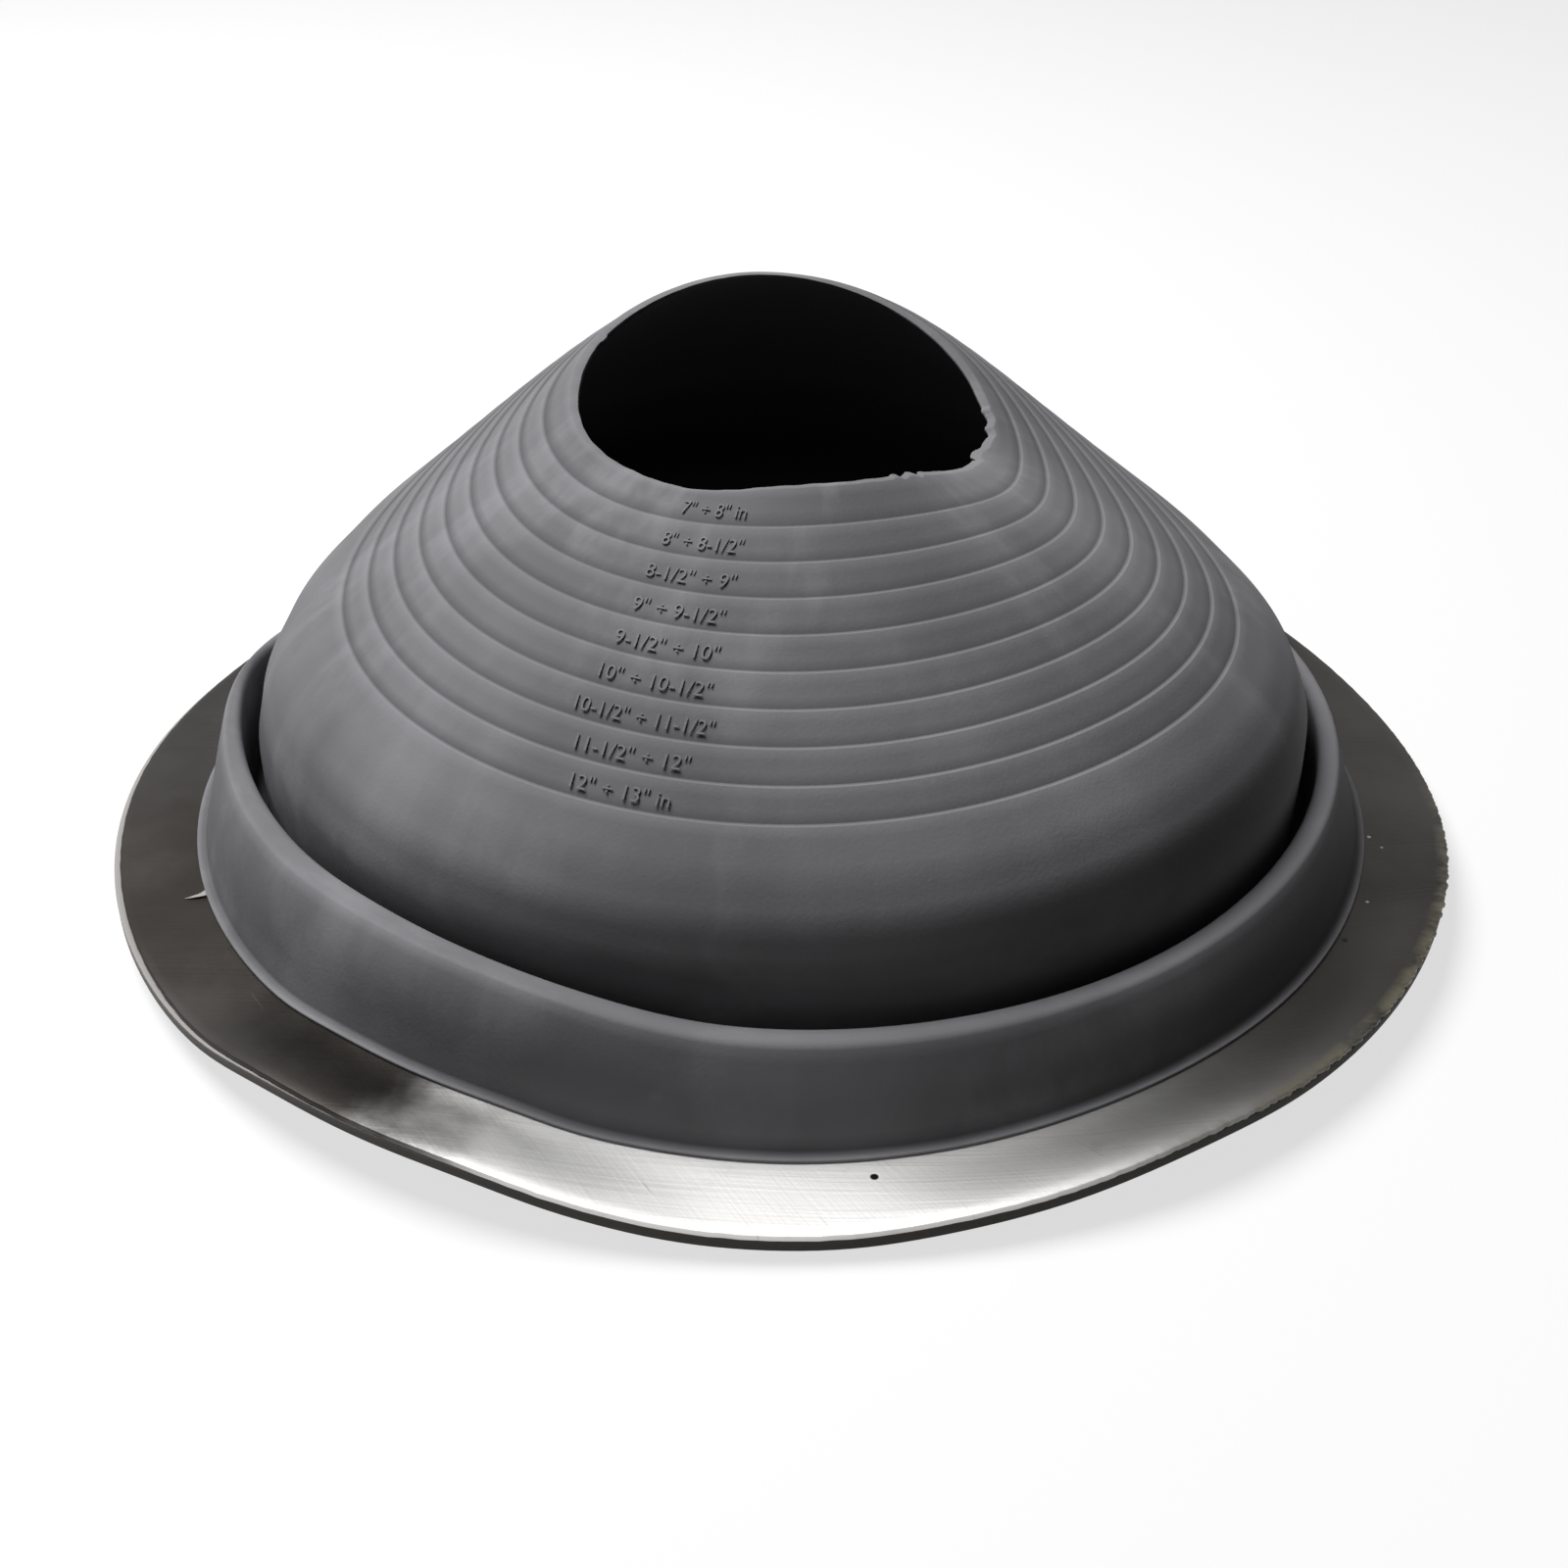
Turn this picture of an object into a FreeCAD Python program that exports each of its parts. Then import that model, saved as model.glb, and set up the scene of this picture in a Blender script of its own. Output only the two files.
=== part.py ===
"""Pipe flashing boot: a moulded rubber boot with a soft aluminium ring bonded to its base.

The ring and the boot's base are sections in the (radius, height) plane, revolved about +Z.
The slack cone above them leans, swells and goes oval under its own weight: each corner of
its moulded section becomes a settled ring, and the rings are joined by ruled faces. The
origin is the centre of the base, on the roof side, so z = 0 is the plane that the boot
rests on. The front is -Y.
"""

import FreeCAD, Part
import math
import os
from FreeCAD import Vector

# ---------------------------------------------------------------- driving sizes, mm
# Base pad and ring
RING_WIDTH = 29.0            # from the hole in the ring to the edge of ring and pad
PAD_WEB = 2.4                # rubber between the ribs and the ring
RIB_HEIGHT = 1.0             # sealing ribs under the pad
RIB_LAND = 2.0               # flat tip of a rib
RIB_FLANK = 0.6              # radial run of a rib's sloping side
RIB_COUNT = 3                # ribs, the outer one flush with the edge
RING_THICKNESS = 1.6         # soft aluminium sheet
RING_EDGE_BREAK = 0.3        # broken top corner of the outer edge

# Rubber wall
WALL = 3.0                   # moulded wall of cone, shoulder, groove and skirt

# Skirt and its foot
SKIRT_RUN = 12.25            # foot line outside the middle of the crest
FOOT_SET = 1.0               # skirt's foot line, outside the ring's hole
LIP_REACH = 2.8              # lip over the ring, measured from the foot line
LIP_THICKNESS = 1.0
FOOT_ROUND = 1.2             # inside corner between skirt and lip

# Collar and folding groove
BODY_RADIUS = 170.9          # upright wall inside the groove
GROOVE_GAP = 4.6             # between the upright wall and the collar
GROOVE_FLOOR = 7.0           # lowest point of the groove above the base
COLLAR_HEIGHT = 36.5         # crest above the base
CREST_WIDTH = 6.5            # fully rounded crest
HOLLOW_ROOF = 2.0            # width of the hollow under the collar at its roof

# Shoulder and cone
SHOULDER_RADIUS = 43.0       # convex round from the cone into the upright wall
SHOULDER_BASE = 34.4         # height where the upright wall begins to turn in
CONE_ANGLE = 38.0            # fall of the cone from the horizontal, degrees
SMOOTH_BAND = 14.0           # plain band between the shoulder and the lowest step
STEP_PITCH = 10.6            # along the slope
STEP_LEDGE = 1.3             # width of each level ledge
STEP_COUNT = 9
OPENING_RADIUS = 63.0        # pipe opening at the top
OPENING_EDGE = 1.5           # height of the upright edge of the opening

# How the slack cone settles. Each row is a wave round the axis: its mean, then the cosine
# and sine parts of one, two and three waves to a turn, counted from the front to the right.
TOP_SPREAD = (-1.0, -5.0, 1.0, 0.5, -4.0, 1.0, 3.0)       # outward, at the opening
MIDDLE_SPREAD = (4.5, -2.0, -1.5, 5.5, 2.5, -2.5, -2.0)   # outward, half way up
TOP_RISE = (-1.5, -7.5, -8.5, 7.0, 4.5, 0.0, 1.5)         # upward, at the opening
MIDDLE_RISE = (6.0, -4.5, 1.0, 4.0, -1.0, -3.5, 0.0)      # upward, half way up

# ---------------------------------------------------------------- worked-out sizes
CREST_ROUND = CREST_WIDTH / 2
GROOVE_ROUND = GROOVE_GAP / 2
COLLAR_BORE_RADIUS = BODY_RADIUS + GROOVE_GAP
FOOT_RADIUS = COLLAR_BORE_RADIUS + CREST_ROUND + SKIRT_RUN
RING_INNER_RADIUS = FOOT_RADIUS - FOOT_SET
FLANGE_RADIUS = RING_INNER_RADIUS + RING_WIDTH
PAD_INNER_RADIUS = RING_INNER_RADIUS - WALL
PAD_TOP = RIB_HEIGHT + PAD_WEB
RING_TOP = PAD_TOP + RING_THICKNESS
LIP_TOP = RING_TOP + LIP_THICKNESS
SLOPE = math.radians(CONE_ANGLE)
START_RADIUS = BODY_RADIUS - SHOULDER_RADIUS + SHOULDER_RADIUS * math.sin(SLOPE)
START_HEIGHT = SHOULDER_BASE + SHOULDER_RADIUS * math.cos(SLOPE)
LAND_RADIUS = OPENING_RADIUS + WALL / math.sin(SLOPE) - OPENING_EDGE / math.tan(SLOPE)
TOP_HEIGHT = START_HEIGHT + (START_RADIUS - LAND_RADIUS) * math.tan(SLOPE)
JOIN_TOLERANCE = 1e-6
FLAT_TURN = math.radians(36)  # most that one flat of a small round turns
SHOULDER_FLATS = 7            # strips round the shoulder
INNER_STRIPS = 5              # strips down the inside of the cone
RING_POINTS = 16              # places on a settled ring


class Outline:
    """A section, drawn edge by edge from (radius, height) points."""

    def __init__(self, radius, height):
        self.start = self.here = Vector(radius, 0, height)
        self.edges = []

    def line_to(self, radius, height):
        """Straight edge to a point, none where the outline is already there."""
        there = Vector(radius, 0, height)
        if (there - self.here).Length > JOIN_TOLERANCE:
            self.edges.append(Part.LineSegment(self.here, there).toShape())
            self.here = there

    def facets_about(self, centre, round_radius, from_angle, to_angle):
        """Small or hidden round as equal flats, which keep the turned form light.

        The centre is (radius, height), and angles are in radians from the outward direction.
        """
        count = math.ceil(abs(to_angle - from_angle) / FLAT_TURN)
        for step in range(count + 1):
            angle = from_angle + (to_angle - from_angle) * step / count
            self.line_to(
                centre[0] + round_radius * math.cos(angle),
                centre[1] + round_radius * math.sin(angle),
            )

    def solid(self):
        """Close the section and turn it once about +Z."""
        self.line_to(self.start.x, self.start.z)
        face = Part.Face(Part.Wire(self.edges))
        return face.revolve(Vector(0, 0, 0), Vector(0, 0, 1), 360)

    def skin(self):
        """Turn the open section once about +Z."""
        return Part.Wire(self.edges).revolve(Vector(0, 0, 0), Vector(0, 0, 1), 360)


def up_the_slope(distance):
    """Point on the cone's moulded slope, a distance above the shoulder."""
    return START_RADIUS - distance * math.cos(SLOPE), START_HEIGHT + distance * math.sin(SLOPE)


def skirt_lean():
    """Lean of the skirt from upright, as a tangent from the foot line to the crest's round."""
    down = LIP_TOP - (COLLAR_HEIGHT - CREST_ROUND)
    return math.atan2(down, SKIRT_RUN) + math.acos(CREST_ROUND / math.hypot(SKIRT_RUN, down))


def wave(parts, turn):
    """Value of a wave at an angle from the front: mean + sum of a cos(k turn) + b sin(k turn)."""
    total = parts[0]
    for k in range(1, (len(parts) + 1) // 2):
        total += parts[2 * k - 1] * math.cos(k * turn) + parts[2 * k] * math.sin(k * turn)
    return total


def settled(radius, height, turn):
    """Where a moulded point comes to rest. The top's waves grow as the square of the share
    of the cone's height, and the middle's are full half way up and nothing at either end."""
    share = (height - SHOULDER_BASE) / (TOP_HEIGHT - SHOULDER_BASE)
    top = share**2
    middle = 4 * share * (1 - share)
    reach = radius + top * wave(TOP_SPREAD, turn) + middle * wave(MIDDLE_SPREAD, turn)
    rise = top * wave(TOP_RISE, turn) + middle * wave(MIDDLE_RISE, turn)
    return Vector(reach * math.sin(turn), -reach * math.cos(turn), height + rise)


def settled_ring(radius, height):
    """Closed curve of one corner of the cone's section. It starts on +X, as a turned edge
    does, and at the foot of the shoulder, where nothing settles, it is a true circle."""
    if height <= SHOULDER_BASE:
        return Part.Wire(Part.Circle(Vector(0, 0, height), Vector(0, 0, 1), radius).toShape())
    turns = [math.pi / 2 + 2 * math.pi * place / RING_POINTS for place in range(RING_POINTS)]
    curve = Part.BSplineCurve()
    curve.interpolate(Points=[settled(radius, height, turn) for turn in turns], PeriodicFlag=True)
    return Part.Wire(curve.toShape())


def shoulder_section(round_radius):
    """Points round the shoulder, from the upright wall to the slope."""
    angles = [(math.pi / 2 - SLOPE) * flat / SHOULDER_FLATS for flat in range(SHOULDER_FLATS + 1)]
    middle = BODY_RADIUS - SHOULDER_RADIUS
    return [
        (middle + round_radius * math.cos(a), SHOULDER_BASE + round_radius * math.sin(a))
        for a in angles
    ]


def step_section():
    """Points up the outside, two for each step: the brink of its ledge and the ledge's corner."""
    points = []
    for step in range(STEP_COUNT):
        radius, height = up_the_slope(SMOOTH_BAND + step * STEP_PITCH)
        points += [(radius, height), (radius - STEP_LEDGE, height)]
    return points


def settled_cone():
    """Skin of cone and shoulder, up the outside, over the land and down the inside."""
    inside = shoulder_section(SHOULDER_RADIUS - WALL)
    edge_foot = (OPENING_RADIUS, TOP_HEIGHT - OPENING_EDGE)
    across, down = inside[-1][0] - edge_foot[0], inside[-1][1] - edge_foot[1]
    section = shoulder_section(SHOULDER_RADIUS) + step_section()
    section += [(LAND_RADIUS, TOP_HEIGHT), (OPENING_RADIUS, TOP_HEIGHT), edge_foot]
    for strip in range(1, INNER_STRIPS):
        share = strip / INNER_STRIPS
        section.append((edge_foot[0] + across * share, edge_foot[1] + down * share))
    section += inside[::-1]
    return Part.makeLoft([settled_ring(*point) for point in section], False, True)


def draw_ribs(outline):
    """Under the pad from its inner edge to the flange's edge, rib by rib."""
    spacing = (FLANGE_RADIUS - PAD_INNER_RADIUS - RIB_LAND) / (RIB_COUNT - 1)
    for rib in range(RIB_COUNT):
        inner = PAD_INNER_RADIUS + rib * spacing
        if rib > 0:
            outline.line_to(inner - RIB_FLANK, RIB_HEIGHT)
        outline.line_to(inner, 0)
        outline.line_to(inner + RIB_LAND, 0)
        if rib < RIB_COUNT - 1:
            outline.line_to(inner + RIB_LAND + RIB_FLANK, RIB_HEIGHT)


def turned_base():
    """Skin of upright wall, groove, collar, skirt, foot lip and ribbed pad, open at the
    shoulder's foot."""
    lean = skirt_lean()
    groove = (BODY_RADIUS + GROOVE_ROUND, GROOVE_FLOOR + GROOVE_ROUND)
    crest = (COLLAR_BORE_RADIUS + CREST_ROUND, COLLAR_HEIGHT - CREST_ROUND)

    # Down the inside of the upright wall and under the groove.
    section = Outline(BODY_RADIUS - WALL, SHOULDER_BASE)
    section.facets_about(groove, GROOVE_ROUND + WALL, math.pi, 2 * math.pi)

    # Up into the hollow of the collar and down behind the skirt.
    wall_line = COLLAR_BORE_RADIUS + WALL
    skirt_back = crest[0] + (CREST_ROUND - WALL) / math.cos(lean)
    roof = crest[1] - (wall_line + HOLLOW_ROOF - skirt_back) / math.tan(lean)
    knee = crest[1] - (PAD_INNER_RADIUS - skirt_back) / math.tan(lean)
    section.line_to(wall_line, roof)
    section.line_to(wall_line + HOLLOW_ROOF, roof)
    section.line_to(PAD_INNER_RADIUS, knee)
    draw_ribs(section)

    # Pad's outer edge, seat of the ring, and the foot lip over it.
    section.line_to(FLANGE_RADIUS, PAD_TOP)
    section.line_to(RING_INNER_RADIUS, PAD_TOP)
    section.line_to(RING_INNER_RADIUS, RING_TOP)
    section.line_to(FOOT_RADIUS + LIP_REACH, RING_TOP)
    section.line_to(FOOT_RADIUS + LIP_REACH, LIP_TOP)

    # Foot corner, skirt, crest, down into the groove and up the wall to the shoulder.
    setback = FOOT_ROUND / math.tan((math.pi / 2 + lean) / 2)
    foot = (FOOT_RADIUS + setback, LIP_TOP + FOOT_ROUND)
    section.facets_about(foot, FOOT_ROUND, -math.pi / 2, -math.pi + lean)
    section.facets_about(crest, CREST_ROUND, lean, math.pi)
    section.facets_about(groove, GROOVE_ROUND, 0, -math.pi)
    section.line_to(BODY_RADIUS, SHOULDER_BASE)
    return section.skin()


def rubber_boot():
    """The whole moulding, its base and cone sewn along the two circles of the shoulder's foot."""
    skin = Part.makeCompound(turned_base().Faces + settled_cone().Faces)
    skin.sewShape()
    return Part.Solid(skin.Shells[0])


def aluminium_ring():
    """Flat blanked ring on the pad, its inner edge under the foot lip."""
    section = Outline(RING_INNER_RADIUS, PAD_TOP)
    section.line_to(FLANGE_RADIUS, PAD_TOP)
    section.line_to(FLANGE_RADIUS, RING_TOP - RING_EDGE_BREAK)
    section.line_to(FLANGE_RADIUS - RING_EDGE_BREAK, RING_TOP)
    section.line_to(RING_INNER_RADIUS, RING_TOP)
    return section.solid()


def main():
    """Write one STEP file for each piece."""
    os.makedirs("parts", exist_ok=True)
    pieces = {"rubber_boot": rubber_boot(), "aluminium_ring": aluminium_ring()}
    for name, solid in pieces.items():
        solid.exportStep("parts/" + name + ".step")
        print(f"{name}: {solid.Volume / 1000:.1f} cm3")


main()
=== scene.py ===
"""Looks of a pipe flashing boot: a moulded grey rubber boot bonded to a soft aluminium ring.

The boot's moulded section is turned about +Z and then relaxed, the way slack rubber settles: the
cone leans and goes oval, as in the solids, and the flange and collar ripple gently besides. Sizes
are in millimetres until a mesh is written, and MM turns them into metres.
"""

from __future__ import annotations

import logging
import math
from dataclasses import dataclass
from enum import Enum

import bpy
import numpy as np
from mathutils import Matrix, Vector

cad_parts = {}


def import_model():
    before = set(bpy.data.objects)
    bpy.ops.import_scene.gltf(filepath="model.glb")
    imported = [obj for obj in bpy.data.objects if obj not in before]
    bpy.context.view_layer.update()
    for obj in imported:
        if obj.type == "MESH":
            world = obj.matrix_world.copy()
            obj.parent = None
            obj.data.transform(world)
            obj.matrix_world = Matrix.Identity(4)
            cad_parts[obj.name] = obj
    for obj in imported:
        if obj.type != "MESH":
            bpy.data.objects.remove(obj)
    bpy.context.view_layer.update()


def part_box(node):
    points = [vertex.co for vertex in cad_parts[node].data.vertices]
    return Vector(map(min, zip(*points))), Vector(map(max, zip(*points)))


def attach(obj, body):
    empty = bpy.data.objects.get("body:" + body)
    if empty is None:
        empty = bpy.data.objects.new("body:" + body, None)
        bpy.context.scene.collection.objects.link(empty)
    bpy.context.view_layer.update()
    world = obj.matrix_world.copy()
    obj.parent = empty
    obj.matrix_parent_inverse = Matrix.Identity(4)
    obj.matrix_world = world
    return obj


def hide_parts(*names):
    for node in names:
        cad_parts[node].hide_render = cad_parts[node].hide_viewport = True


MM = 0.001
ROOT = "root"
WHITE = (1.0, 1.0, 1.0, 1.0)
NOISE_MEAN = 0.5
log = logging.getLogger("boot")


# ------------------------------------------------------------------ shader maths
class Wire:
    """A shader socket that builds Math nodes from Python expressions."""

    def __init__(self, tree: Tree, socket: bpy.types.NodeSocket) -> None:
        """Hold the socket and the tree that it is in."""
        self.tree = tree
        self.socket = socket

    def _math(self, operation: str, *values: object) -> Wire:
        """One Math node on these values."""
        return self.tree.node("ShaderNodeMath", {"operation": operation}, dict(enumerate(values)))

    def __add__(self, other: object) -> Wire:
        """self + other."""
        return self._math("ADD", self, other)

    __radd__ = __add__

    def __sub__(self, other: object) -> Wire:
        """self - other."""
        return self._math("SUBTRACT", self, other)

    def __mul__(self, other: object) -> Wire:
        """self * other."""
        return self._math("MULTIPLY", self, other)

    def __truediv__(self, other: object) -> Wire:
        """self / other."""
        return self._math("DIVIDE", self, other)

    def __pow__(self, other: object) -> Wire:
        """self ** other."""
        return self._math("POWER", self, other)

    def root(self) -> Wire:
        """Square root."""
        return self._math("SQRT", self)

    def larger(self, other: Wire) -> Wire:
        """The larger of the two."""
        return self._math("MAXIMUM", self, other)

    def turn_from(self, other: Wire) -> Wire:
        """Angle of (other, self) in radians."""
        return self._math("ARCTAN2", self, other)

    def rise(self, low: float, high: float) -> Wire:
        """Smooth step from 0 at low to 1 at high; it falls where high is under low."""
        return self.tree.node(
            "ShaderNodeMapRange",
            {"interpolation_type": "SMOOTHSTEP"},
            {0: self, 1: low, 2: high, 3: 0.0, 4: 1.0},
        )


class Tree:
    """A node tree under construction, with one method that adds any node."""

    def __init__(self, tree: bpy.types.NodeTree) -> None:
        """Empty the tree."""
        self.tree = tree
        self.tree.nodes.clear()

    def add(self, kind: str, settings: dict, sockets: dict) -> bpy.types.Node:
        """Add one node.

        Args:
            kind: The node's type.
            settings: Properties set before the sockets.
            sockets: Input name or number to a constant or a wire.

        Returns:
            The node.
        """
        made = self.tree.nodes.new(kind)
        for name, value in settings.items():
            setattr(made, name, value)
        for name, value in sockets.items():
            if isinstance(value, Wire):
                self.tree.links.new(value.socket, made.inputs[name])
            else:
                made.inputs[name].default_value = value
        return made

    def node(self, kind: str, settings: dict, sockets: dict, output: object = 0) -> Wire:
        """Add one node and hand back one of its outputs, by name or number."""
        return Wire(self, self.add(kind, settings, sockets).outputs[output])

    def rays(self, *kinds: str) -> list[Wire]:
        """For each kind of ray, such as "Camera", 1 on rays of that kind and 0 on others."""
        path = self.add("ShaderNodeLightPath", {}, {})
        return [Wire(self, path.outputs[f"Is {kind} Ray"]) for kind in kinds]

    def mixed(self, factor: Wire, first: Wire, second: Wire) -> Wire:
        """Mix of two shaders, from first to second."""
        return self.node("ShaderNodeMixShader", {}, {0: factor, 1: first, 2: second})


@dataclass(frozen=True)
class Grain:
    """A fractal noise, about 0.5 on average, and how its marks show.

    Scale is in cycles per unit, fade is where the marks start and end to rise out of the noise,
    amount is the share of their colour, and depth, in metres, and strength are those of its bump.
    """

    scale: float
    detail: float
    rough: float = 0.55
    fade: tuple[float, float] = (0.4, 0.6)
    amount: float = 1.0
    depth: float = 0.0
    strength: float = 0.2


class Recipe(Tree):
    """A node material under construction."""

    def __init__(self, name: str) -> None:
        """Start an empty material."""
        self.material = bpy.data.materials.new(name)
        self.material.use_nodes = True
        super().__init__(self.material.node_tree)

    def place(self) -> Wire:
        """Object coordinates, in metres."""
        return self.node("ShaderNodeTexCoord", {}, {}, "Object")

    def split(self, vector: Wire) -> list[Wire]:
        """The three parts of a vector."""
        made = self.add("ShaderNodeSeparateXYZ", {}, {0: vector})
        return [Wire(self, part) for part in made.outputs]

    def joined(self, x: Wire, y: Wire, z: Wire) -> Wire:
        """A vector from three values."""
        return self.node("ShaderNodeCombineXYZ", {}, {0: x, 1: y, 2: z})

    def mark(self, name: str) -> Wire:
        """A number stored on the mesh's points."""
        return self.node("ShaderNodeAttribute", {"attribute_name": name}, {}, "Fac")

    def noise(self, vector: Wire, grain: Grain) -> Wire:
        """The grain's noise over a vector."""
        values = {"Vector": vector, "Scale": grain.scale, "Detail": grain.detail}
        values["Roughness"] = grain.rough
        return self.node("ShaderNodeTexNoise", {"noise_dimensions": "3D"}, values, "Fac")

    def blend(self, factor: Wire, first: object, second: object) -> Wire:
        """Colour mix from first to second."""
        return self.node("ShaderNodeMix", {"data_type": "RGBA"}, {0: factor, 6: first, 7: second}, 2)

    def bump(self, height: Wire, grain: Grain, under: Wire | None = None) -> Wire:
        """The grain's bump from a height, over an optional lower bump."""
        values = {"Strength": grain.strength, "Distance": grain.depth, "Height": height}
        if under is not None:
            values["Normal"] = under
        return self.node("ShaderNodeBump", {}, values)

    def principled(self, **sockets: object) -> Wire:
        """A Principled shader with these sockets, named with underscores."""
        named = {name.replace("_", " "): value for name, value in sockets.items()}
        return self.node("ShaderNodeBsdfPrincipled", {}, named)

    def finish_with(self, shader: Wire) -> bpy.types.Material:
        """Send a shader to the surface and hand back the material."""
        self.add("ShaderNodeOutputMaterial", {}, {"Surface": shader})
        return self.material


def grey(level: float, warm: float = 0.0) -> tuple[float, float, float, float]:
    """A neutral colour, made warmer by lowering its blue."""
    return (level * (1 + warm), level, level * (1 - warm), 1.0)


# ------------------------------------------------------------------ finishes
@dataclass(frozen=True)
class RubberFinish:
    """Matte grey moulded rubber: mould bloom, rub marks, painted shade in hollows, painted
    highlights.
    """

    base: float = 0.20
    bloom: float = 0.255
    shade: float = 0.14
    # Painted shade: the inner faces are near black, and the ribs under the pad partly so
    inside: float = 0.003
    # Painted light: the pad's outer edge and the flash whisker take a pale warm grey as if lit
    painted_light: float = 0.33
    painted_light_warmth: float = 0.04
    cast: tuple[float, float, float] = (0.985, 0.98, 1.03)
    # Painted shade: step roots, the groove's floor and the lip's underside are darkened as if in
    # shadow
    crease_shade_amount: float = 0.6
    crease_shade_level: float = 0.056
    # Painted highlight: crests, step edges, the opening's rim and the size marks are lightened as if
    # lit
    crest_highlight_amount: float = 0.25
    crest_highlight_gain: float = 1.15
    rough: float = 0.48
    rough_cloud: float = 0.14
    rough_streak: float = 0.12
    specular: float = 0.04
    cloud: Grain = Grain(9.0, 5.0, fade=(0.34, 0.66))
    streak: Grain = Grain(5.0, 6.0, 0.6, (0.46, 0.72), 0.6, 0.0008)
    rub: Grain = Grain(38.0, 6.0, 0.7, (0.60, 0.76), 0.3, 0.0006)
    speck: Grain = Grain(900.0, 2.0, depth=0.00018, strength=0.35)
    streak_round: float = 0.8
    streak_out: float = 9.0
    streak_up: float = 7.0

    def tint(self, level: float) -> tuple[float, float, float, float]:
        """A grey with the rubber's faint blue cast."""
        red, green, blue = self.cast
        return (level * red, level * green, level * blue, 1.0)

    def material(self) -> bpy.types.Material:
        """Build the rubber, with streaks that run round the axis.

        Returns:
            The material.
        """
        r = Recipe("moulded_grey_rubber")
        place = r.place()
        x, y, z = r.split(place)
        radius = (x * x + y * y).root()
        around = r.joined(
            x / radius * self.streak_round,
            y / radius * self.streak_round,
            radius * self.streak_out + z * self.streak_up,
        )
        cloud = r.noise(place, self.cloud)
        streak = r.noise(around, self.streak)
        rub = r.noise(place, self.rub)
        speck = r.noise(place, self.speck)
        bloom = self.tint(self.bloom)
        tone = r.blend(cloud.rise(*self.cloud.fade), self.tint(self.shade), self.tint(self.base))
        tone = r.blend(streak.rise(*self.streak.fade) * self.streak.amount, tone, bloom)
        tone = r.blend(rub.rise(*self.rub.fade) * self.rub.amount, tone, bloom)
        # Painted shade darkens the hollows marked on the section
        tone = r.blend(r.mark("crease_shade") * self.crease_shade_amount, tone, self.tint(self.crease_shade_level))
        # Painted highlight on the crests and edges marked on the section
        crest = self.tint(self.bloom * self.crest_highlight_gain)
        tone = r.blend(r.mark("crest") * self.crest_highlight_amount, tone, crest)
        # Painted light on the pad's outer edge and the whisker
        tone = r.blend(r.mark("painted_light"), tone, grey(self.painted_light, self.painted_light_warmth))
        # Painted shade darkens the inner faces and the underside
        tone = r.blend(r.mark("inside"), tone, grey(self.inside))
        relief = r.bump(speck, self.speck)
        relief = r.bump(streak, self.streak, relief)
        relief = r.bump(rub, self.rub, relief)
        surface = r.principled(
            Base_Color=tone,
            Roughness=self.rough + cloud * self.rough_cloud + streak * self.rough_streak,
            Normal=relief,
            Specular_IOR_Level=self.specular,
        )
        return r.finish_with(surface)


@dataclass(frozen=True)
class Spot:
    """A small mark on the ring: place and size in metres, and its grey."""

    x: float
    y: float
    size: float
    level: float


SPOTS = (
    Spot(0.0262, -0.2020, 0.0013, 0.004),
    Spot(0.1688, -0.1043, 0.0011, 0.004),
    Spot(0.1892, -0.0497, 0.0007, 0.22),
    Spot(0.1917, -0.0560, 0.0005, 0.20),
    Spot(0.1801, -0.0852, 0.0006, 0.20),
)


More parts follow.
